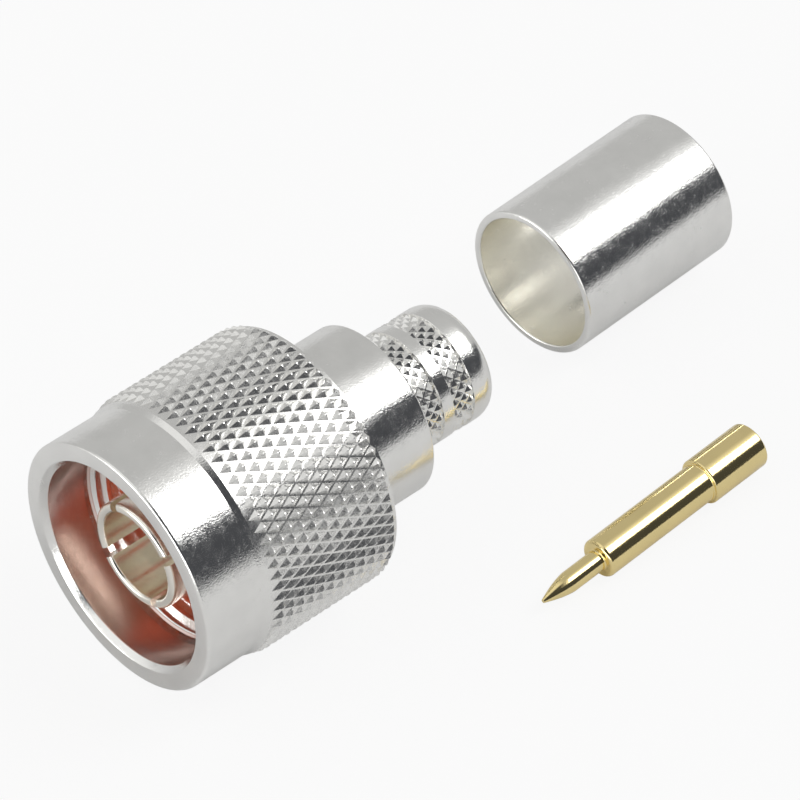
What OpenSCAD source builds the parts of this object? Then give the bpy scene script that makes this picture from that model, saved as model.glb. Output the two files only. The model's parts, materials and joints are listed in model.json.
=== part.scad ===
// N series coaxial plug for crimped cable, laid out as a kit: the plug with its coupling nut,
// the crimp ferrule and the centre contact, all lying on one plane.
// Millimetres. +Y runs along the plug's axis from the mouth to the cable end, +Z is up.
// y = 0 is the front plane of the coupling nut, x = z = 0 is the plug's axis.

/* [Coupling nut] */
// Length of the nut
nut_len = 17.5; // [16.5:0.1:19]
// Diameter of the smooth front collar
collar_d = 20; // [19.6:0.1:20.2]
// Length of the smooth front collar
collar_len = 5.25; // [4.5:0.05:6]
// Diameter over the peaks of the knurl
knurl_d = 21; // [20.9:0.1:22]
// Diamonds around the knurl
knurl_count = 66; // [50:1:80]
// Depth of the knurl's grooves
knurl_depth = 0.33; // [0.2:0.01:0.36]
// Angle between a knurl groove and the axis
knurl_angle = 27.6; // [25:0.1:32]
// Minor diameter of the 5/8-24 thread
thread_minor_d = 14.8; // [14.7:0.02:15]
// How much deeper than that the smooth mouth and the room behind the thread are cut
thread_relief = 0.72; // [0.6:0.02:0.9]
// Depth at which the thread starts
thread_start = 4; // [3.6:0.1:4.6]
// Length of the threaded stretch
thread_len = 5.6; // [5:0.1:5.8]
// Axial width of the front lip, which pushes the body's flange
front_lip = 1.85; // [1.6:0.05:1.9]
// Axial width of the rear lip
rear_lip = 1.25; // [1:0.05:1.5]
// Radial clearance between the nut's lips and the plug body
run_gap = 0.05; // [0.02:0.01:0.09]
// Outer rounding of the front rim
rim_r = 0.8; // [0.4:0.05:1]
// Radial width of the chamfers inside the mouth
mouth_chamfer = 0.45; // [0.2:0.05:0.6]

/* [Plug body] */
// Diameter of the body where the nut turns on it, and of its rear collar
body_d = 13.7; // [13.4:0.1:14]
// Clearance round the front flange in the nut
flange_gap = 0.32; // [0.2:0.02:0.5]
// Distance of the flange's front face behind the nut's front plane
flange_y = 11.4; // [11.3:0.05:11.6]
// Thickness of the front flange
flange_len = 1.6; // [1.4:0.05:1.7]
// End of the rear collar
collar_end = 24.1; // [23:0.1:26]
// Diameter of the crimp barrel
barrel_d = 9.4; // [9.2:0.05:9.6]
// Length of the crimp barrel
barrel_len = 8.05; // [8:0.05:9]
// Length of the rounded nose that slips under the cable's braid
nose_len = 1.3; // [0.5:0.05:1.4]
// Bore for the cable's dielectric
cable_bore_d = 7.4; // [7.2:0.02:7.6]

/* [Barrel knurl] */
// Diamonds around each knurled band
band_count = 31; // [26:1:36]
// Rows of diamonds in each band
band_rows = 4; // [3:1:4]
// Depth of the bands' grooves
band_depth = 0.26; // [0.15:0.01:0.3]
// Smooth stretch between the collar and the first band
band_lead = 0.95; // [0.8:0.05:1.2]
// Smooth land between the two bands
band_land = 1.05; // [0.8:0.05:1.2]

/* [Outer contact] */
// Outside diameter of the slotted contact
contact_d = 8.54; // [8.3:0.02:8.7]
// Bore of the slotted contact
contact_bore_d = 7; // [6.9:0.02:7.1]
// Distance of the contact's front edge behind the nut's front plane
contact_y = 1.57; // [1.4:0.01:1.8]
// Number of slots
slot_count = 4; // [4:2:6]
// Width of a slot
slot_w = 0.75; // [0.5:0.05:0.9]
// Length of a slot
slot_len = 7; // [5.5:0.1:7.5]
// Turn of the slots about the axis
slot_turn = 58; // [0:1:89]
// Diameter of the shank pressed into the body
shank_d = 10; // [9.8:0.1:10.4]
// Length of the shank
shank_len = 3; // [2.6:0.1:3.2]

/* [Gasket and retaining ring] */
// Thickness of the gasket
gasket_t = 1.45; // [1:0.05:1.5]
// Clearance between the gasket and the thread's minor diameter, so that it goes in past it
gasket_gap = 0.1; // [0.05:0.05:0.5]
// Depth of the body's groove for the split retaining ring
ring_groove = 0.65; // [0.4:0.05:0.8]
// Radial width of the retaining ring
ring_w = 1.25; // [1:0.05:1.4]
// Thickness of the retaining ring
ring_t = 0.8; // [0.7:0.05:0.9]
// Clearance round the ring in the nut's groove
ring_room = 0.25; // [0.15:0.05:0.3]
// Opening of the split
ring_split = 1.6; // [1:0.1:2.5]

/* [Insulator] */
// Distance of its front face behind the nut's front plane
insulator_y = 8.6; // [8.3:0.1:9]
// Diameter of the front part, seated in the outer contact
insulator_front_d = 7.5; // [7.3:0.05:7.6]
// Diameter of the rear part, seated in the body
insulator_d = 9; // [8.8:0.1:9.2]
// Length of the rear part
insulator_len = 4.6; // [4:0.1:5]
// Clearance round the centre contact in its hole
pin_gap = 0.05; // [0.02:0.01:0.1]
// Depth of the seat for the centre contact's pot
seat_len = 1.6; // [1:0.1:2]

/* [Crimp ferrule] */
// Inside diameter of the ferrule
ferrule_bore_d = 10.9; // [10.8:0.02:11.1]
// Wall of the ferrule
ferrule_wall = 0.63; // [0.5:0.01:0.8]
// Length of the ferrule
ferrule_len = 15.7; // [14:0.1:18]
// Rounding of its edges
ferrule_soft = 0.2; // [0.1:0.05:0.25]
// Place of its near end across the plug's axis
ferrule_x = -5.35; // [-8:0.01:-4]
// Place of its near end along the plug's axis
ferrule_y = 44.94; // [42:0.01:50]
// Turn of the ferrule away from +Y
ferrule_turn = 2.96; // [0:0.01:6]

/* [Centre contact] */
// Diameter of the tip's flat
tip_d = 0.3; // [0.25:0.01:0.6]
// Length of the taper
taper_len = 2.64; // [2:0.01:3]
// Diameter of the thin part
thin_d = 1.65; // [1.6:0.01:1.7]
// Length of the thin part
thin_len = 3.04; // [2.5:0.01:3.5]
// Diameter of the main part
main_d = 3.1; // [3:0.01:3.2]
// Length of the main part
main_len = 10.82; // [9:0.01:12]
// Rounding of the main part's front edge
main_soft = 0.3; // [0.1:0.05:0.5]
// Diameter of the rear pot
pot_d = 3.7; // [3.6:0.01:3.8]
// Length of the rear pot
pot_len = 5.44; // [5.2:0.01:6]
// Rounding of the pot's edges
pot_soft = 0.15; // [0.05:0.05:0.25]
// Bore of the pot, which takes the cable's inner conductor
pot_bore_d = 2.8; // [2.7:0.02:2.9]
// Depth of the pot's bore
pot_depth = 5; // [4.5:0.1:5.2]
// Place of the pin's tip across the plug's axis
pin_x = 16.2; // [15:0.01:18]
// Place of the pin's tip along the plug's axis
pin_y = 26.19; // [24:0.01:28]
// Turn of the pin away from +Y
pin_turn = 2.86; // [0:0.01:6]

/* [Hidden] */
$fn = 96;
floor_z = -knurl_d / 2;
silver = [0.80, 0.80, 0.79];
gold = [0.80, 0.68, 0.40];
edge = 0.25;              // small chamfers and roundings
slack = 0.2;              // axial play of the nut between the flange and its front lip
// axial distance between two rows of diamonds
knurl_row = PI * knurl_d / knurl_count / 2 / tan(knurl_angle);
knurl_len = nut_len - collar_len;
knurl_rows = floor((knurl_len - 0.6 * knurl_row) / knurl_row) + 1;
band_row = PI * barrel_d / band_count / 2;
band_len = band_rows * band_row;
band_y = [for (k = [0, 1]) collar_end + band_lead + k * (band_len + band_land)];
barrel_end = collar_end + barrel_len;
shank_end = flange_y + shank_len;
insulator_end = shank_end + insulator_len;
mouth = thread_minor_d / 2 + thread_relief;
gasket_d = thread_minor_d - 2 * gasket_gap;
front_lip_y = flange_y + flange_len + slack;
front_lip_end = front_lip_y + front_lip;
rear_lip_y = nut_len - rear_lip;
ring_in_r = body_d / 2 - ring_groove;
ring_out_r = ring_in_r + ring_w;
ring_y = (front_lip_end + rear_lip_y - ring_t) / 2;
pin_tilt = asin((pot_d - main_d) / 2 / main_len);

module along_y() rotate([-90, 0, 0]) children();

// Turned shape about the Y axis from an outline of [radius, y] points.
module turned(outline) along_y() rotate_extrude() polygon(outline);

// Points of an arc of an outline: centre c, radius r, from angle a to angle b.
function arc(c, r, a, b, n = 8) =
    [for (k = [0:n]) c + r * [cos(a + (b - a) * k / n), sin(a + (b - a) * k / n)]];

// Solid cylinder with a diamond knurl: pyramids at the even points of a grid, groove crossings
// at the odd ones, and a plain ring at each end where the knurl runs out.
module knurled(peak_r, depth, count, rows, row, len) {
    cols = 2 * count;
    lead = (len - (rows - 1) * row) / 2;
    z = [0, for (j = [0:rows - 1]) lead + j * row, len];
    last = len(z) - 1;
    function peak(i, j) = j > 0 && j < last && (i + j) % 2 == 0;
    function at(i, j) = j * cols + i % cols;
    points = [for (j = [0:last]) for (i = [0:cols - 1])
        let (r = peak_r - (peak(i, j) ? 0 : depth), a = 180 * i / count)
        [r * cos(a), r * sin(a), z[j]]];
    sides = [for (j = [0:last - 1]) for (i = [0:cols - 1]) each
        (i + j) % 2 == 0
            ? [[at(i, j), at(i, j + 1), at(i + 1, j)],
               [at(i + 1, j), at(i, j + 1), at(i + 1, j + 1)]]
            : [[at(i, j), at(i + 1, j + 1), at(i + 1, j)],
               [at(i, j), at(i, j + 1), at(i + 1, j + 1)]]];
    ends = [[for (i = [0:cols - 1]) i], [for (i = [cols - 1:-1:0]) last * cols + i]];
    along_y() polyhedron(points, concat(sides, ends), convexity = 4);
}

module coupling_nut() {
    r = collar_d / 2;
    minor = thread_minor_d / 2;
    lip = body_d / 2 + run_gap;
    thread_end = thread_start + mouth - minor + thread_len;
    groove = ring_out_r + ring_room;
    color(silver) difference() {
        union() {
            turned(concat([[0, 0]], arc([r - rim_r, rim_r], rim_r, -90, 0),
                          [[r, collar_len + knurl_row], [0, collar_len + knurl_row]]));
            translate([0, collar_len, 0])
                knurled(knurl_d / 2, knurl_depth, knurl_count, knurl_rows, knurl_row, knurl_len);
        }
        turned([[0, -1], [mouth + mouth_chamfer, -1], [mouth + mouth_chamfer, 0],
                [mouth, mouth_chamfer], [mouth, thread_start],
                [minor, thread_start + mouth - minor],
                [minor, thread_end], [mouth, thread_end], [mouth, front_lip_y],
                [lip, front_lip_y], [lip, front_lip_end], [groove, front_lip_end],
                [groove, rear_lip_y], [lip, rear_lip_y], [lip, nut_len - edge],
                [lip + edge, nut_len], [lip + edge, nut_len + 1], [0, nut_len + 1]]);
    }
}

module retaining_ring() {
    color(silver) difference() {
        turned([[ring_in_r, ring_y], [ring_out_r, ring_y], [ring_out_r, ring_y + ring_t],
                [ring_in_r, ring_y + ring_t]]);
        translate([0, ring_y + ring_t / 2, -ring_out_r])
            cube([ring_split, 2 * ring_t, 2 * ring_out_r], center = true);
    }
}

module gasket() {
    inner = contact_d / 2;
    outer = gasket_d / 2;
    front = flange_y - gasket_t;
    color([0.72, 0.28, 0.18])
        turned(concat([[inner, flange_y], [inner, front]],
                      arc([outer - edge, front + edge], edge, -90, 0, 4), [[outer, flange_y]]));
}

module plug_body() {
    r = body_d / 2;
    flange = mouth - flange_gap;
    barrel = barrel_d / 2;
    root = barrel - band_depth - 0.1;
    bore = cable_bore_d / 2;
    nose = barrel - bore - 0.15;
    groove_y = [ring_y - run_gap, ring_y + ring_t + run_gap];
    color(silver) difference() {
        union() {
            turned(concat(
                [[0, flange_y], [flange - 0.15, flange_y], [flange, flange_y + 0.15],
                 [flange, flange_y + flange_len], [r, flange_y + flange_len],
                 [r, groove_y[0]], [ring_in_r, groove_y[0]],
                 [ring_in_r, groove_y[1]], [r, groove_y[1]]],
                arc([r - edge, collar_end - edge], edge, 0, 90, 4),
                [[barrel, collar_end]],
                [for (y = band_y) each [[barrel, y], [root, y], [root, y + band_len],
                                        [barrel, y + band_len]]],
                [for (a = [0:11.25:90]) [barrel - nose * (1 - cos(a)),
                                         barrel_end - nose_len * (1 - sin(a))]],
                [[0, barrel_end]]));
            for (y = band_y) translate([0, y, 0])
                knurled(barrel + 0.04, band_depth, band_count, band_rows, band_row, band_len);
        }
        turned([[0, flange_y - 1], [shank_d / 2, flange_y - 1], [shank_d / 2, shank_end],
                [insulator_d / 2, shank_end], [insulator_d / 2, insulator_end],
                [bore, insulator_end], [bore, barrel_end + 1], [0, barrel_end + 1]]);
    }
}

module outer_contact() {
    r = contact_d / 2;
    bore = contact_bore_d / 2;
    seat = insulator_front_d / 2;
    tip = (r - bore) / 2;
    color(silver) difference() {
        turned(concat([[seat, shank_end], [seat, insulator_y], [bore, insulator_y]],
                      arc([bore + tip, contact_y + tip], tip, 180, 360),
                      [[r, flange_y], [shank_d / 2, flange_y], [shank_d / 2, shank_end]]));
        for (k = [0:slot_count - 1]) rotate([0, slot_turn + 360 * k / slot_count, 0])
            translate([-slot_w / 2, contact_y - 1, bore - 1])
                cube([slot_w, slot_len + 1, r - bore + 2]);
    }
}

module insulator() {
    hole = main_d / 2 + pin_gap;
    seat = pot_d / 2 + pin_gap;
    seat_y = insulator_end - seat_len;
    front = insulator_front_d / 2;
    color([0.93, 0.92, 0.88]) turned([
        [hole, insulator_y], [front, insulator_y], [front, shank_end],
        [insulator_d / 2, shank_end], [insulator_d / 2, insulator_end],
        [seat, insulator_end], [seat, seat_y], [hole, seat_y]]);
}

// Lies on the edges of its pot and of its main part, so its tip points slightly down.
module centre_contact() {
    tip = tip_d / 2;
    thin = thin_d / 2;
    main = main_d / 2;
    pot = pot_d / 2;
    bore = pot_bore_d / 2;
    main_y = taper_len + thin_len;
    pot_y = main_y + main_len;
    end = pot_y + pot_len;
    // the taper bulges a little, like an ogive
    ogive = [for (s = [0:0.125:1]) [tip + (thin - tip) * (0.4 * s + 0.6 * sin(90 * s)),
                                    taper_len * s]];
    rise = pot / cos(pin_tilt) - pot_y * sin(pin_tilt);
    color(gold)
        translate([pin_x, pin_y, floor_z + rise]) rotate([0, 0, pin_turn])
            rotate([pin_tilt, 0, 0])
                turned(concat([[0, 0]], ogive, [[thin, main_y]],
                              arc([main - main_soft, main_y + main_soft], main_soft, -90, 0, 4),
                              [[main, pot_y], [pot - pot_soft, pot_y], [pot, pot_y + pot_soft],
                               [pot, end - pot_soft], [pot - pot_soft, end], [bore, end],
                               [bore, end - pot_depth], [0, end - pot_depth - bore / 2]]));
}

module crimp_ferrule() {
    bore = ferrule_bore_d / 2;
    r = bore + ferrule_wall;
    soft = ferrule_soft;
    color(silver)
        translate([ferrule_x, ferrule_y, floor_z + r]) rotate([0, 0, ferrule_turn])
            turned(concat(
                [[bore, soft], [bore + soft, 0]], arc([r - soft, soft], soft, -90, 0, 4),
                arc([r - soft, ferrule_len - soft], soft, 0, 90, 4),
                [[bore + soft, ferrule_len], [bore, ferrule_len - soft]]));
}

coupling_nut();
retaining_ring();
gasket();
plug_body();
outer_contact();
insulator();
centre_contact();
crimp_ferrule();
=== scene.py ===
# An N series plug for crimped cable, laid out as a kit: the plug with its coupling nut, its crimp
# ferrule and its centre contact. Named sizes and outlines are in millimetres, and an outline's
# corners are (radius, place along the axis, rounding); the scene is in metres, in the frame's axes.
import json
from math import atan2, cos, degrees, pi, radians, sin, sqrt

import bpy
from mathutils import Matrix, Vector

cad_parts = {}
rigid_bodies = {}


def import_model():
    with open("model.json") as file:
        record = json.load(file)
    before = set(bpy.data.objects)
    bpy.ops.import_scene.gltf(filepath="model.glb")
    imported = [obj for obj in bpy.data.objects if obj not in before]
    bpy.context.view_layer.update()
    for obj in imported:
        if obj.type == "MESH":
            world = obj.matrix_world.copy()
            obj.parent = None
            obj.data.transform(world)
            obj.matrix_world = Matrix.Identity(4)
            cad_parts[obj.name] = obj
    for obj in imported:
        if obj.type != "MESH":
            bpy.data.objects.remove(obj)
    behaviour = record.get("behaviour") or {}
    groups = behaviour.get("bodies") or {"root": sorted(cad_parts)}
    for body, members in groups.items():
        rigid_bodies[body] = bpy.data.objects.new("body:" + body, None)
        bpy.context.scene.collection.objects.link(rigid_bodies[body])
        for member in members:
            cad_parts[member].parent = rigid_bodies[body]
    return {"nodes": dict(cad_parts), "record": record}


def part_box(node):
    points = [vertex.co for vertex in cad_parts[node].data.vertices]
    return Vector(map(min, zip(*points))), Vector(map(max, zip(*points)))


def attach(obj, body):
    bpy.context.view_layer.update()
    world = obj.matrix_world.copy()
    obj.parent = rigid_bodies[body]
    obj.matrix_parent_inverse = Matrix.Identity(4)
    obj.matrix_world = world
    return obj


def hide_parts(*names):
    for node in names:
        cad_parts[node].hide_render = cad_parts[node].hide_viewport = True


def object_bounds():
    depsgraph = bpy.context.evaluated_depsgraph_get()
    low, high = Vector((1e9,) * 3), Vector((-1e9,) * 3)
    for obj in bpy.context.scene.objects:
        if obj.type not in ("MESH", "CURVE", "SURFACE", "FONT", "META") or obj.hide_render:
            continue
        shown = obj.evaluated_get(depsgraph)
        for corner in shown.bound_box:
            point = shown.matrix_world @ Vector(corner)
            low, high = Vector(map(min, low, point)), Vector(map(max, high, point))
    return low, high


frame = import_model()
cad_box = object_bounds()
bpy.ops.object.select_all(action="DESELECT")

view_turn, view_rise = radians(48.08), radians(44.40)
view_distance = 0.442
look_at = Vector((-0.00721, 0.03332, -0.01048))
back = Vector((sin(view_turn) * cos(view_rise), -cos(view_turn) * cos(view_rise), sin(view_rise)))
bpy.ops.object.camera_add(location=look_at + view_distance * back,
                          rotation=(pi / 2 - view_rise, 0, view_turn))
camera = bpy.context.object
camera.data.sensor_width = 36
camera.data.lens = 264.9
camera.data.clip_start = 0.01
camera.data.clip_end = 50
bpy.context.scene.camera = camera
bpy.context.scene.view_settings.view_transform = "Standard"

table_z, table_r = cad_box[0][2], 6
table_paint = 0.78
seen_glow, mirrored_glow = 0.9, 0.1
bpy.ops.mesh.primitive_circle_add(vertices=64, radius=table_r, fill_type="NGON",
                                  location=(0, 0, table_z))
table = bpy.context.object
table.name = "table_top"

# The table top glows by itself to the camera, and a little in what the metal mirrors.
white = bpy.data.materials.new("table_white")
white.use_nodes = True
nodes, links = white.node_tree.nodes, white.node_tree.links
nodes.clear()
paint = nodes.new("ShaderNodeBsdfDiffuse")
paint.inputs["Color"].default_value = (table_paint, table_paint, table_paint, 1)
glow = nodes.new("ShaderNodeEmission")
glow.inputs["Color"].default_value = (1, 1, 1, 1)
ray = nodes.new("ShaderNodeLightPath")
mirrored = nodes.new("ShaderNodeMath")
mirrored.operation = "MAXIMUM"
links.new(ray.outputs["Is Glossy Ray"], mirrored.inputs[0])
links.new(ray.outputs["Is Transmission Ray"], mirrored.inputs[1])
mirrored_share = nodes.new("ShaderNodeMath")
mirrored_share.operation = "MULTIPLY"
mirrored_share.inputs[1].default_value = mirrored_glow
links.new(mirrored.outputs[0], mirrored_share.inputs[0])
share = nodes.new("ShaderNodeMath")
share.operation = "MULTIPLY_ADD"
share.inputs[1].default_value = seen_glow
links.new(ray.outputs["Is Camera Ray"], share.inputs[0])
links.new(mirrored_share.outputs[0], share.inputs[2])
blend = nodes.new("ShaderNodeMixShader")
links.new(share.outputs[0], blend.inputs["Fac"])
links.new(paint.outputs[0], blend.inputs[1])
links.new(glow.outputs[0], blend.inputs[2])
surface = nodes.new("ShaderNodeOutputMaterial")
links.new(blend.outputs[0], surface.inputs["Surface"])
table.data.materials.append(white)

soft_box_rise, soft_box_away = radians(64), 0.8
soft_box_at = (soft_box_away * cos(soft_box_rise), 0.47, soft_box_away * sin(soft_box_rise))
for name, place, turn, width, length, strength in (
        ("soft_box", soft_box_at, (0, pi / 2 - soft_box_rise, 0), 0.42, 0.56, 3.0),
        ("fill_lamp", (0.05, -1.1, 0.17), (radians(82), 0, 0), 1.9, 0.3, 3.5)):
    bpy.ops.object.light_add(type="AREA", location=place, rotation=turn)
    lamp = bpy.context.object
    lamp.name = name
    lamp.data.shape = "RECTANGLE"
    lamp.data.size = width
    lamp.data.size_y = length
    lamp.data.energy = width * length * pi * strength

# The mouth's bright walls mirror one another several times over.
bpy.context.scene.cycles.glossy_bounces = 10
room = bpy.data.worlds.new("pale_room")
bpy.context.scene.world = room
room.use_nodes = True
nodes, links = room.node_tree.nodes, room.node_tree.links
toward = nodes.new("ShaderNodeTexCoord")
axes = nodes.new("ShaderNodeSeparateXYZ")
links.new(toward.outputs["Generated"], axes.inputs[0])
right, rear, up = axes.outputs["X"], axes.outputs["Y"], axes.outputs["Z"]


def room_step(source, low, high):
    """A soft step from 0 to 1 as a direction passes from low to high."""
    step = nodes.new("ShaderNodeMapRange")
    step.interpolation_type = "SMOOTHSTEP"
    step.inputs["From Min"].default_value = low
    step.inputs["From Max"].default_value = high
    links.new(source, step.inputs["Value"])
    return step.outputs["Result"]


def room_math(operation, first, second):
    """Two values for each direction put together, or one value and a plain number."""
    node = nodes.new("ShaderNodeMath")
    node.operation = operation
    for slot, value in zip(node.inputs, (first, second)):
        if isinstance(value, (int, float)):
            slot.default_value = value
        else:
            links.new(value, slot)
    return node.outputs[0]


def room_overlap(first, *others):
    """The part of the room that several soft steps share."""
    for other in others:
        first = room_math("MULTIPLY", first, other)
    return first


# Dark parts: the right side below the soft box, and the space round and over the camera. Neither
# reaches the low front, so the underside of the collar stays pale.
round_axis = room_math("ARCTAN2", up, right)
not_low_front = room_math("MAXIMUM", room_step(rear, -0.42, -0.32), room_step(up, 0.25, 0.33))
right_low = room_overlap(room_step(round_axis, radians(-1), radians(2)),
                         room_step(round_axis, radians(50), radians(46)), not_low_front)
over_camera = room_overlap(room_step(rear, 0.12, 0.02), not_low_front,
                           room_step(up, 0.04, 0.12), room_step(right, 0.02, 0.2))
dark = room_math("MAXIMUM", right_low, over_camera)

# Bright parts: the ceiling behind the soft box and, less so, the ceiling to the left over the
# mouth and the wall in front.
past_box = room_overlap(room_step(round_axis, radians(108), radians(66)),
                        room_step(rear, 0.1, 0.3), room_step(rear, 0.85, 0.7))
over_mouth = room_overlap(room_step(right, 0.06, -0.1), room_step(right, -0.85, -0.7),
                          room_step(rear, 0.12, 0.02), room_step(up, 0.4, 0.55))
front_wall = room_step(rear, -0.4, -0.52)
bright = room_math("MAXIMUM", past_box, room_math("MULTIPLY", over_mouth, 0.45))
bright = room_math("MAXIMUM", bright, room_math("MULTIPLY", front_wall, 0.5))

pale = nodes.new("ShaderNodeMix")
pale.data_type = "RGBA"
links.new(bright, pale.inputs["Factor"])
pale.inputs["A"].default_value = (0.50, 0.50, 0.495, 1)
pale.inputs["B"].default_value = (1.25, 1.25, 1.24, 1)
zones = nodes.new("ShaderNodeMix")
zones.data_type = "RGBA"
links.new(dark, zones.inputs["Factor"])
links.new(pale.outputs["Result"], zones.inputs["A"])
zones.inputs["B"].default_value = (0.06, 0.062, 0.068, 1)
links.new(zones.outputs["Result"], nodes["Background"].inputs["Color"])
nodes["Background"].inputs["Strength"].default_value = 1.0

# --- Coupling nut -------------------------------------------------------------------------------
# Turned from brass bar, with a smooth collar and a diamond knurl, and screw-cut 24 turns to the
# inch inside. It is plated bright silver, and two lips hold it on the body, so it spins freely.


def softened(outline, closed):
    """Points of an outline whose corners (radius, place, rounding) are rounded by small arcs."""
    arc_degrees = 11
    points = []
    for i, (r, y, soft) in enumerate(outline):
        corner = Vector((r, y))
        if not soft or (not closed and i in (0, len(outline) - 1)):
            points.append(corner)
            continue
        before = (Vector(outline[i - 1][:2]) - corner).normalized()
        after = (Vector(outline[(i + 1) % len(outline)][:2]) - corner).normalized()
        half = before.angle(after) / 2
        reach = soft * cos(half) / sin(half)
        middle = corner + (before + after).normalized() * (soft / sin(half))
        start = corner + before * reach - middle
        sweep = start.angle_signed(corner + after * reach - middle)
        parts = max(2, round(abs(degrees(sweep)) / arc_degrees))
        for k in range(parts + 1):
            points.append(middle + Matrix.Rotation(-sweep * k / parts, 2) @ start)
    return points


def draw(points):
    """A line of edges through (radius, place) points, left in edit mode as the active object."""
    here = points[0]
    bpy.ops.mesh.primitive_plane_add(size=0.0001, location=(here[0] / 1000, here[1] / 1000, 0))
    bpy.ops.object.mode_set(mode="EDIT")
    bpy.ops.mesh.merge(type="CENTER")
    for point in points[1:]:
        bpy.ops.mesh.extrude_region_move(TRANSFORM_OT_translate={
            "value": ((point[0] - here[0]) / 1000, (point[1] - here[1]) / 1000, 0),
            "use_proportional_edit": False})
        here = point
    bpy.ops.mesh.select_all(action="SELECT")
    return bpy.context.object


def turned(name, outline, steps, closed=True):
    """A solid turned about the Y axis, as on a lathe, from one outline."""
    points = softened(outline, closed)
    if closed:
        points.append(points[0])
    piece = draw(points)
    piece.name = name
    bpy.ops.mesh.remove_doubles(threshold=5e-7)
    bpy.ops.mesh.spin(steps=steps, angle=2 * pi, center=(0, 0, 0), axis=(0, 1, 0))
    bpy.ops.mesh.select_all(action="SELECT")
    bpy.ops.mesh.remove_doubles(threshold=5e-7)
    bpy.ops.mesh.normals_make_consistent(inside=False)
    bpy.ops.mesh.select_all(action="DESELECT")
    bpy.ops.object.mode_set(mode="OBJECT")
    bpy.ops.object.transform_apply(location=True, rotation=True, scale=True)
    return piece


def off_axis(point):
    """How far a point of the plug is from its axis, in millimetres."""
    return 1000 * sqrt(point.x ** 2 + point.z ** 2)


def cut_diamonds(piece, root_r, lines, diamonds, plain_lines, floor, height, tip_round):
    """Knurls a turned band: crossed grooves, with a round-tipped pyramid in each diamond.

    The band has a ring of points on each line, two points to a diamond. Every other point is the
    middle of a diamond, but for the plain lines at either end. The middles are dissolved, and
    each diamond is inset by half the width of a groove's floor and poked up.
    """
    mesh = piece.data
    near, lift = 0.01, 1.04
    spacing = lines[1] - lines[0]
    whole_diamond = 2 * pi * root_r * spacing / diamonds
    bpy.ops.object.mode_set(mode="EDIT")
    bpy.ops.mesh.select_mode(type="VERT")
    bpy.ops.object.mode_set(mode="OBJECT")
    for vertex in mesh.vertices:
        column = round(atan2(vertex.co.z, vertex.co.x) / pi * diamonds)
        line = round((1000 * vertex.co.y - lines[0]) / spacing)
        vertex.select = (plain_lines <= line < len(lines) - plain_lines
                         and abs(1000 * vertex.co.y - lines[line]) < near
                         and off_axis(vertex.co) > root_r - near
                         and (column + line - plain_lines) % 2 == 0)

    # The middles are lifted for a moment, so that the shorter diagonals are the grooves.
    bpy.ops.object.mode_set(mode="EDIT")
    bpy.ops.transform.resize(value=(lift, 1, lift), center_override=(0, 0, 0))
    bpy.ops.mesh.select_more()
    bpy.ops.mesh.quads_convert_to_tris(quad_method="SHORTEST_DIAGONAL")
    bpy.ops.mesh.select_all(action="DESELECT")
    bpy.ops.object.mode_set(mode="OBJECT")
    for vertex in mesh.vertices:
        vertex.select = off_axis(vertex.co) > root_r + 0.1
    bpy.ops.object.mode_set(mode="EDIT")
    bpy.ops.mesh.dissolve_verts()
    bpy.ops.mesh.select_all(action="DESELECT")
    bpy.ops.object.mode_set(mode="OBJECT")

    # Whole diamonds become pyramids, and the half ones along the front edge stay flat.
    for polygon in mesh.polygons:
        y = 1000 * polygon.center.y
        polygon.select = (off_axis(polygon.center) > root_r - 0.1
                          and len(polygon.vertices) == 4
                          and 1e6 * polygon.area > whole_diamond / 2
                          and lines[0] + 0.3 * spacing < y < lines[-1] + 0.3 * spacing)
    bpy.ops.object.mode_set(mode="EDIT")
    bpy.ops.mesh.select_mode(type="FACE")
    bpy.ops.mesh.inset(thickness=floor / 2000, use_individual=True, use_even_offset=True)
    bpy.ops.mesh.poke(offset=height / 1000)
    bpy.ops.mesh.select_all(action="DESELECT")
    bpy.ops.object.mode_set(mode="OBJECT")

    # The tips stand above all else, and each is rounded.
    for vertex in mesh.vertices:
        vertex.select = off_axis(vertex.co) > root_r + 0.15
    bpy.ops.object.mode_set(mode="EDIT")
    bpy.ops.mesh.select_mode(type="VERT")
    bpy.ops.mesh.bevel(offset=tip_round / 1000, offset_type="OFFSET", segments=2,
                       affect="VERTICES")
    bpy.ops.mesh.select_all(action="DESELECT")
    bpy.ops.object.mode_set(mode="OBJECT")


def clouds(tree, scale, detail=2, roughness=0.5):
    """A cloudy pattern that is fixed to the piece."""
    place = tree.nodes.new("ShaderNodeTexCoord")
    cloud = tree.nodes.new("ShaderNodeTexNoise")
    cloud.inputs["Scale"].default_value = scale
    cloud.inputs["Detail"].default_value = detail
    cloud.inputs["Roughness"].default_value = roughness
    tree.links.new(place.outputs["Object"], cloud.inputs["Vector"])
    return cloud.outputs["Fac"]


def tones(tree, pattern, low, low_tone, high, high_tone):
    """A pattern turned into colours, one at its low value and one at its high value."""
    ramp = tree.nodes.new("ShaderNodeValToRGB")
    ramp.color_ramp.elements[0].position = low
    ramp.color_ramp.elements[0].color = low_tone + (1,)
    ramp.color_ramp.elements[1].position = high
    ramp.color_ramp.elements[1].color = high_tone + (1,)
    tree.links.new(pattern, ramp.inputs["Fac"])
    return ramp.outputs["Color"]


def relief(tree, pattern, height):
    """A pattern turned into fine bumps of a height in metres."""
    bump = tree.nodes.new("ShaderNodeBump")
    bump.inputs["Strength"].default_value = 1
    bump.inputs["Distance"].default_value = height
    tree.links.new(pattern, bump.inputs["Height"])
    return bump


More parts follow.
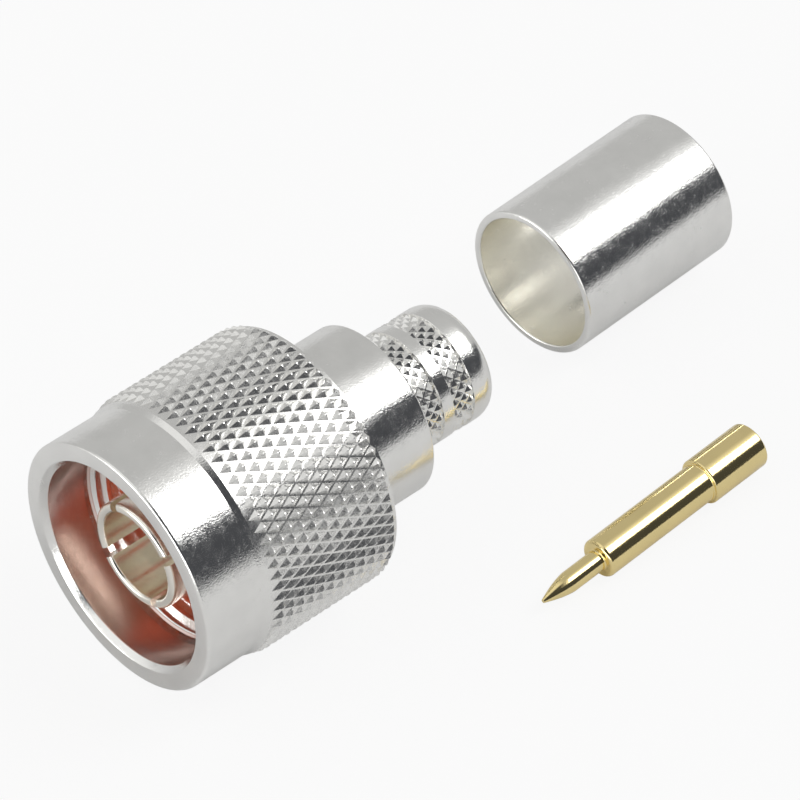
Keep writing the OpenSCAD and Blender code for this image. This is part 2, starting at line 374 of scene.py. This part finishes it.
def plating(name, tint, dullness, orange_peel, specks=0.14):
    """Plated metal: a fine grain, a slightly uneven tone, and duller specks in its shine."""
    metal = bpy.data.materials.new(name)
    metal.use_nodes = True
    tree = metal.node_tree
    shader = tree.nodes["Principled BSDF"]
    shader.inputs["Metallic"].default_value = 1
    darker = tuple(c * 0.965 for c in tint)
    lighter = tuple(min(1, c * 1.03) for c in tint)
    tone = tones(tree, clouds(tree, scale=420, detail=4), 0.3, darker, 0.7, lighter)
    tree.links.new(tone, shader.inputs["Base Color"])
    shine = tree.nodes.new("ShaderNodeMapRange")
    shine.inputs["From Min"].default_value = 0.44
    shine.inputs["From Max"].default_value = 0.68
    shine.inputs["To Min"].default_value = dullness - 0.02
    shine.inputs["To Max"].default_value = dullness + specks
    smears = clouds(tree, scale=1500, detail=5, roughness=0.8)
    tree.links.new(smears, shine.inputs["Value"])
    tree.links.new(shine.outputs["Result"], shader.inputs["Roughness"])
    wave = relief(tree, clouds(tree, scale=6500, detail=3), orange_peel * 1.8)
    grain = relief(tree, clouds(tree, scale=9000, detail=3), orange_peel)
    tree.links.new(wave.outputs["Normal"], grain.inputs["Normal"])
    tree.links.new(grain.outputs["Normal"], shader.inputs["Normal"])
    return metal


nut_low, nut_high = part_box("coupling_nut")
face = nut_low[1] * 1000
nut_len = (nut_high[1] - nut_low[1]) * 1000
nut_end = face + nut_len
collar_r, knurl_root_r = 10.0, 10.2
lip_r, ring_groove_r, thread_wall_r, mouth_r = 6.9, 7.7, 7.96, 8.12
nut_diamonds = 66
row = 0.9563
shoulder = 5.25
mouth_chamfer_r = 8.57
rows = [face + shoulder + (nut_len - shoulder - 12 * row) / 2 + j * row for j in range(13)]
nut_outline = [
    (mouth_chamfer_r, face, 0.12), (collar_r, face, 0.25),
    (collar_r, face + shoulder - 0.12, 0.08), (knurl_root_r, rows[0] - 0.05, 0)]
nut_outline += [(knurl_root_r, y, 0) for y in rows]
nut_outline += [
    # the rear edge and the rear lip
    (10.17, nut_end - 0.1, 0), (9.95, nut_end, 0), (7.15, nut_end, 0.08),
    (lip_r, nut_end - 0.25, 0), (lip_r, face + 16.25, 0.05),
    # the groove over the retaining ring, and the front lip
    (ring_groove_r, face + 16.25, 0), (ring_groove_r, face + 15.05, 0),
    (lip_r, face + 15.05, 0.05), (lip_r, face + 13.2, 0.05),
    # the relief behind the thread, the thread's wall and the smooth mouth
    (mouth_r, face + 13.2, 0), (mouth_r, face + 10.3, 0),
    (thread_wall_r, face + 10.15, 0), (thread_wall_r, face + 4.16, 0),
    (mouth_r, face + 4.0, 0), (mouth_r, face + 0.45, 0.1)]
nut = turned("knurled_nut", nut_outline, steps=2 * nut_diamonds)
cut_diamonds(nut, knurl_root_r, rows, nut_diamonds, plain_lines=0,
             floor=0.12, height=0.33, tip_round=0.2)
bpy.ops.object.shade_smooth_by_angle(angle=radians(14))

# The thread: one rib wound down the bore, its first and last turns cut away by the lead-in cones.
pitch = 25.4 / 24
turns = 6
rib_start = face + 3.2
rib_foot_r, flank_r, crest_r = 8.10, 7.98, 7.40
flank_gap, flank_width, root_flat = 0.08, 0.335, 0.06
front_cone, rear_cone, rear_slope = 4.05, 10.25, 1.4
rib = [(rib_foot_r, rib_start)]
for k in range(7):
    rib.append((flank_r + (crest_r - flank_r) * k / 6,
                rib_start + flank_gap + flank_width * k / 6))
rib += [(r, 2 * rib_start + pitch - root_flat - y) for r, y in reversed(rib)]
thread = draw(rib)
thread.name = "coupling_thread"
bpy.ops.mesh.edge_face_add()
bpy.ops.object.mode_set(mode="OBJECT")
bpy.ops.object.transform_apply(location=True, rotation=True, scale=True)
wind = thread.modifiers.new("wind", "SCREW")
wind.axis = "Y"
wind.angle = 2 * pi
wind.screw_offset = pitch / 1000
wind.iterations = turns
wind.steps = wind.render_steps = 2 * nut_diamonds
wind.use_merge_vertices = False
bpy.ops.object.modifier_apply(modifier="wind")
for vertex in thread.data.vertices:
    r = off_axis(vertex.co)
    deep = 1000 * vertex.co.y - face
    lead_in = rib_foot_r - min(max(deep - front_cone, 0), rear_slope * max(rear_cone - deep, 0))
    if r < lead_in:
        vertex.co.x *= lead_in / r
        vertex.co.z *= lead_in / r
bpy.ops.object.mode_set(mode="EDIT")
bpy.ops.mesh.select_all(action="SELECT")
bpy.ops.mesh.normals_make_consistent(inside=False)
bpy.ops.object.mode_set(mode="OBJECT")
bpy.ops.object.shade_smooth_by_angle(angle=radians(28))

# The plating is brightest outside and duller on the knurl and inside the bore; the bore's pink,
# darker tint is a painted reflection of the red gasket.
silver = (0.92, 0.914, 0.893)
nut_metal = plating("nut_plating_bright", silver, dullness=0.15, orange_peel=7e-6)
# Painted pink reflection of the red gasket on the mouth's walls.
bore_painted_pink_reflection = plating("nut_bore_painted_pink_reflection", (0.81, 0.66, 0.61), dullness=0.21,
                      orange_peel=2e-6, specks=0.03)
knurl_metal = plating("nut_knurl_plating", silver, dullness=0.25, orange_peel=6e-6)
for piece in (nut, thread):
    piece.data.materials.append(nut_metal)
    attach(piece, "nut")
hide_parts("coupling_nut")
nut.data.materials.append(bore_painted_pink_reflection)
nut.data.materials.append(knurl_metal)
bore_limit_r = 8.3
# Faces within the bore take the painted pink reflection of the gasket.
for polygon in nut.data.polygons:
    if off_axis(polygon.center) < bore_limit_r:
        polygon.material_index = 1
    elif rows[0] < 1000 * polygon.center.y < rows[-1]:
        polygon.material_index = 2

# --- Retaining ring -----------------------------------------------------------------------------
# A split ring of spring bronze in the body's groove. The nut's front lip stops against it.
bronze = plating("spring_bronze_bare", (0.52, 0.36, 0.17), dullness=0.3, orange_peel=4e-6)
ring = frame["nodes"]["retaining_ring"]
ring.data.materials.clear()
ring.data.materials.append(bronze)

# --- Gasket -------------------------------------------------------------------------------------
# A moulded ring of red silicone rubber. It lies on the body's flange and seals the jack's edge.


def polymer(name, darker, lighter, cloud_scale, cloud_detail, skin_scale, skin_height, roughness,
            bleed, bleed_reach):
    """Rubber or plastic: two close tones, a fine skin, and light that soaks in a little."""
    material = bpy.data.materials.new(name)
    material.use_nodes = True
    tree = material.node_tree
    shader = tree.nodes["Principled BSDF"]
    shader.inputs["Roughness"].default_value = roughness
    shader.inputs["Subsurface Weight"].default_value = bleed
    shader.inputs["Subsurface Radius"].default_value = bleed_reach
    shader.inputs["Subsurface Scale"].default_value = 1
    tone = tones(tree, clouds(tree, cloud_scale, cloud_detail), 0, darker, 1, lighter)
    tree.links.new(tone, shader.inputs["Base Color"])
    skin = relief(tree, clouds(tree, skin_scale), skin_height)
    tree.links.new(skin.outputs["Normal"], shader.inputs["Normal"])
    return material


gasket_low, gasket_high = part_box("gasket")
seal_y, seal_end = gasket_low[1] * 1000, gasket_high[1] * 1000
gasket_r, gasket_hole_r = 7.29, 4.28
gasket = turned("gasket_ring", [
    (gasket_hole_r, seal_end, 0.05), (gasket_hole_r, seal_y, 0.3),
    (gasket_r, seal_y, 0.4), (gasket_r, seal_end, 0.05)], steps=160)
bpy.ops.object.shade_smooth_by_angle(angle=radians(30))
silicone = polymer("red_silicone", darker=(0.92, 0.16, 0.065), lighter=(0.99, 0.21, 0.09),
                   cloud_scale=900, cloud_detail=4, skin_scale=5000, skin_height=8e-6,
                   roughness=0.42, bleed=0.15, bleed_reach=(0.001, 0.0003, 0.0002))
gasket.data.materials.append(silicone)
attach(gasket, "plug")
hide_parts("gasket")

# --- Plug body ----------------------------------------------------------------------------------
# Turned from brass and plated like the nut: a flange that the nut pulls on, a shaft that the nut
# spins on, a plain rear collar, and the crimp barrel with two knurled bands for the braid.
body_low, body_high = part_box("plug_body")
flange_y, barrel_end = body_low[1] * 1000, body_high[1] * 1000
flange_r, shaft_r, ring_floor_r, barrel_r, band_floor_r = 7.8, 6.85, 6.2, 4.7, 4.36
shank_r, bush_r, cable_r = 5.0, 4.5, 3.7
bush_seat_y, bush_seat_end = 14.4, 19.0
ring_floor_y, ring_floor_end = 15.2, 16.1
flange_end = flange_y + 1.6
collar_end = barrel_end - 8.05
band_row = 0.47629
band_len, band_gap = 4 * band_row, 1.05
first_band = collar_end + 0.95
bands = [first_band, first_band + band_len + band_gap]
body_outline = [
    (shank_r, flange_y, 0.05), (flange_r, flange_y, 0.15), (flange_r, flange_end, 0.05),
    (shaft_r, flange_end, 0), (shaft_r, ring_floor_y, 0.03), (ring_floor_r, ring_floor_y, 0),
    (ring_floor_r, ring_floor_end, 0), (shaft_r, ring_floor_end, 0.03),
    (shaft_r, collar_end, 0.22), (barrel_r, collar_end, 0.12)]
for y in bands:
    body_outline += [(barrel_r, y - 0.02, 0.04), (band_floor_r, y + 0.02, 0),
                     (band_floor_r, y + band_len - 0.02, 0), (barrel_r, y + band_len + 0.02, 0.04)]
nose_depth, nose_len = barrel_r - cable_r - 0.15, 1.3
body_outline += [(barrel_r - nose_depth * (1 - cos(radians(a))),
                  barrel_end - nose_len * (1 - sin(radians(a))), 0) for a in range(0, 91, 9)]
body_outline += [
    (cable_r, barrel_end, 0.06), (cable_r, bush_seat_end, 0), (bush_r, bush_seat_end, 0),
    (bush_r, bush_seat_y, 0), (shank_r, bush_seat_y, 0)]
body = turned("plug_shell", body_outline, steps=248)
bpy.ops.object.shade_smooth_by_angle(angle=radians(28))
body_metal = plating("body_plating_bright", silver, dullness=0.15, orange_peel=7e-6)
pieces = [body]
band_root_r, band_foot_r = 4.5, 4.3
band_diamonds = 31
for number, y in enumerate(bands):
    lines = [y + band_row * (j - 0.5) for j in range(6)]
    band_outline = [(band_foot_r, y - 0.01, 0)]
    band_outline += [(band_root_r, line, 0) for line in lines]
    band_outline += [(band_foot_r, lines[-1] + 0.01, 0)]
    band = turned("crimp_knurl_%d" % (number + 1), band_outline, steps=2 * band_diamonds)
    cut_diamonds(band, band_root_r, lines, band_diamonds, plain_lines=1,
                 floor=0.07, height=0.24, tip_round=0.09)
    bpy.ops.object.shade_smooth_by_angle(angle=radians(24))
    pieces.append(band)
for piece in pieces:
    piece.data.materials.append(body_metal)
    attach(piece, "plug")
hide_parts("plug_body")

# --- Outer contact ------------------------------------------------------------------------------
# A sleeve of spring bronze, silver-plated, with four slots so that its fingers give, and a shank
# that is pressed into the body.
contact_low, contact_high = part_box("outer_contact")
lip_y, shank_end = contact_low[1] * 1000, contact_high[1] * 1000
finger_bore_r, finger_r, shank_bore_r = 3.5, 4.27, 3.75
bush_y = 8.6
contact = turned("slotted_contact", [
    (finger_bore_r, lip_y, 0.32), (finger_r, lip_y, 0.36), (finger_r, flange_y, 0),
    (shank_r, flange_y, 0.03), (shank_r, shank_end, 0.05), (shank_bore_r, shank_end, 0),
    (shank_bore_r, bush_y, 0), (finger_bore_r, bush_y, 0)], steps=192)
slot_count, first_slot, slot_depth = 4, 58, 7
saw_width, saw_length, saw_height = 0.75, 8, 2
wall_r = (finger_bore_r + finger_r) / 2
saws = []
for k in range(slot_count):
    turn = radians(first_slot + 360 / slot_count * k)
    bpy.ops.mesh.primitive_cube_add(size=1, location=(0, 0, 0))
    saw = bpy.context.object
    saw.scale = (saw_width / 1000, saw_length / 1000, saw_height / 1000)
    saw.rotation_euler = (0, turn, 0)
    saw.location = Vector((wall_r * sin(turn), lip_y + slot_depth - saw_length / 2,
                           wall_r * cos(turn))) / 1000
    bpy.ops.object.transform_apply(location=True, rotation=True, scale=True)
    saws.append(saw)
bpy.ops.object.select_all(action="DESELECT")
for saw in saws:
    saw.select_set(True)
bpy.context.view_layer.objects.active = saws[0]
bpy.ops.object.join()
saw = bpy.context.object
bpy.ops.object.select_all(action="DESELECT")
contact.select_set(True)
bpy.context.view_layer.objects.active = contact
cut = contact.modifiers.new("saw_cut", "BOOLEAN")
cut.operation = "DIFFERENCE"
cut.solver = "EXACT"
cut.object = saw
bpy.ops.object.modifier_apply(modifier="saw_cut")
bpy.data.objects.remove(saw)
bpy.ops.object.shade_smooth_by_angle(angle=radians(28))
contact_metal = plating("contact_silver", (0.945, 0.91, 0.835), dullness=0.19,
                        orange_peel=2e-6, specks=0.03)
contact.data.materials.append(contact_metal)
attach(contact, "plug")
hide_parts("outer_contact")

# --- Insulator ----------------------------------------------------------------------------------
# A white fluoropolymer bush, turned to seat in the sleeve and the body. It holds the centre
# contact on the axis once the plug is put together.
pin_hole_r, pot_hole_r, pot_hole_y = 1.6, 1.9, 17.4
insulator = turned("insulator_bush", [
    (pin_hole_r, bush_y, 0.12), (shank_bore_r, bush_y, 0), (shank_bore_r, bush_seat_y, 0),
    (bush_r, bush_seat_y, 0.05), (bush_r, bush_seat_end, 0.05), (pot_hole_r, bush_seat_end, 0.05),
    (pot_hole_r, pot_hole_y, 0), (pin_hole_r, pot_hole_y, 0)], steps=128)
bpy.ops.object.shade_smooth_by_angle(angle=radians(28))
ptfe = polymer("white_fluoropolymer", darker=(0.80, 0.78, 0.71), lighter=(0.88, 0.86, 0.80),
               cloud_scale=700, cloud_detail=2, skin_scale=4200, skin_height=5e-6,
               roughness=0.5, bleed=0.25, bleed_reach=(0.0008, 0.0007, 0.0006))
insulator.data.materials.append(ptfe)
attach(insulator, "plug")
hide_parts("insulator")

# --- Centre contact -----------------------------------------------------------------------------
# Turned from brass and plated with polished gold: a blunt tapered tip, the thin part that enters
# the jack's socket, the main part, and a pot for the cable's inner conductor. It lies loose.


def lay_along(piece, start, along):
    """Brings a piece turned at the origin to its place on the table."""
    piece.rotation_mode = "QUATERNION"
    piece.rotation_quaternion = Vector((0, 1, 0)).rotation_difference(along)
    piece.location = start
    bpy.ops.object.transform_apply(location=True, rotation=True, scale=True)


mount = {m["name"]: (Vector(m["pos_m"]), Vector(m["axis"])) for m in frame["record"]["mounts"]}
tip_mount, to_front = mount["contact_tip"]
mount_from_tip = 4.1
blunt_r, thin_r, main_r, pot_r, pot_bore_r = 0.15, 0.825, 1.55, 1.85, 1.4
taper_len, thin_end, main_end, pin_len = 2.64, 5.68, 16.5, 21.94
pot_floor, drill_point = 16.94, 0.7
pin_outline = [(0, 0, 0)]
for k in range(15):
    s = k / 14
    swell = 0.4 * s + 0.6 * sin(radians(90 * s))
    pin_outline.append((blunt_r + (thin_r - blunt_r) * swell, taper_len * s, 0))
pin_outline += [
    (thin_r, thin_end, 0.12), (main_r, thin_end, 0.3), (main_r, main_end, 0.1),
    (pot_r, main_end, 0.16), (pot_r, pin_len, 0.17), (pot_bore_r, pin_len, 0.06),
    (pot_bore_r, pot_floor, 0.1), (0, pot_floor - drill_point, 0)]
pin = turned("gold_pin", pin_outline, steps=160, closed=False)
lay_along(pin, tip_mount + to_front * mount_from_tip / 1000, -to_front)
bpy.ops.object.shade_smooth_by_angle(angle=radians(28))
gold = plating("gold_polished", (0.95, 0.78, 0.385), dullness=0.12,
               orange_peel=1.5e-6, specks=0.02)
pin.data.materials.append(gold)
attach(pin, "plug")
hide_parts("centre_contact")

# --- Crimp ferrule ------------------------------------------------------------------------------
# A short length of soft copper-alloy tube with tumbled edges, plated like the plug. It slides over
# the braid and is crimped onto the barrel, and lies loose until then.
middle, along = mount["ferrule_bore"]
tube_bore_r, tube_r, tube_len = 5.45, 6.08, 15.7
ferrule = turned("crimp_tube", [
    (tube_bore_r, 0, 0.16), (tube_r, 0, 0.2), (tube_r, tube_len, 0.2),
    (tube_bore_r, tube_len, 0.16)], steps=256)
lay_along(ferrule, middle - along * tube_len / 2000, along)
bpy.ops.object.shade_smooth_by_angle(angle=radians(28))
ferrule_metal = plating("ferrule_plating_satin", (0.925, 0.92, 0.90), dullness=0.16,
                        orange_peel=7e-6)
# Inside, the tube is satin, and its lighter, warmer tint is painted light in the bore.
ferrule_bore_painted_light = plating("ferrule_bore_satin_painted_light", (0.985, 0.965, 0.915), dullness=0.24,
                             orange_peel=2e-6, specks=0.04)
ferrule.data.materials.append(ferrule_metal)
ferrule.data.materials.append(ferrule_bore_painted_light)
# Faces of the bore take the lighter tint, painted light inside the tube.
for polygon in ferrule.data.polygons:
    out = polygon.center - middle
    if 1000 * (out - along * out.dot(along)).length < tube_bore_r + 0.1:
        polygon.material_index = 1
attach(ferrule, "plug")
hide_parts("crimp_ferrule")
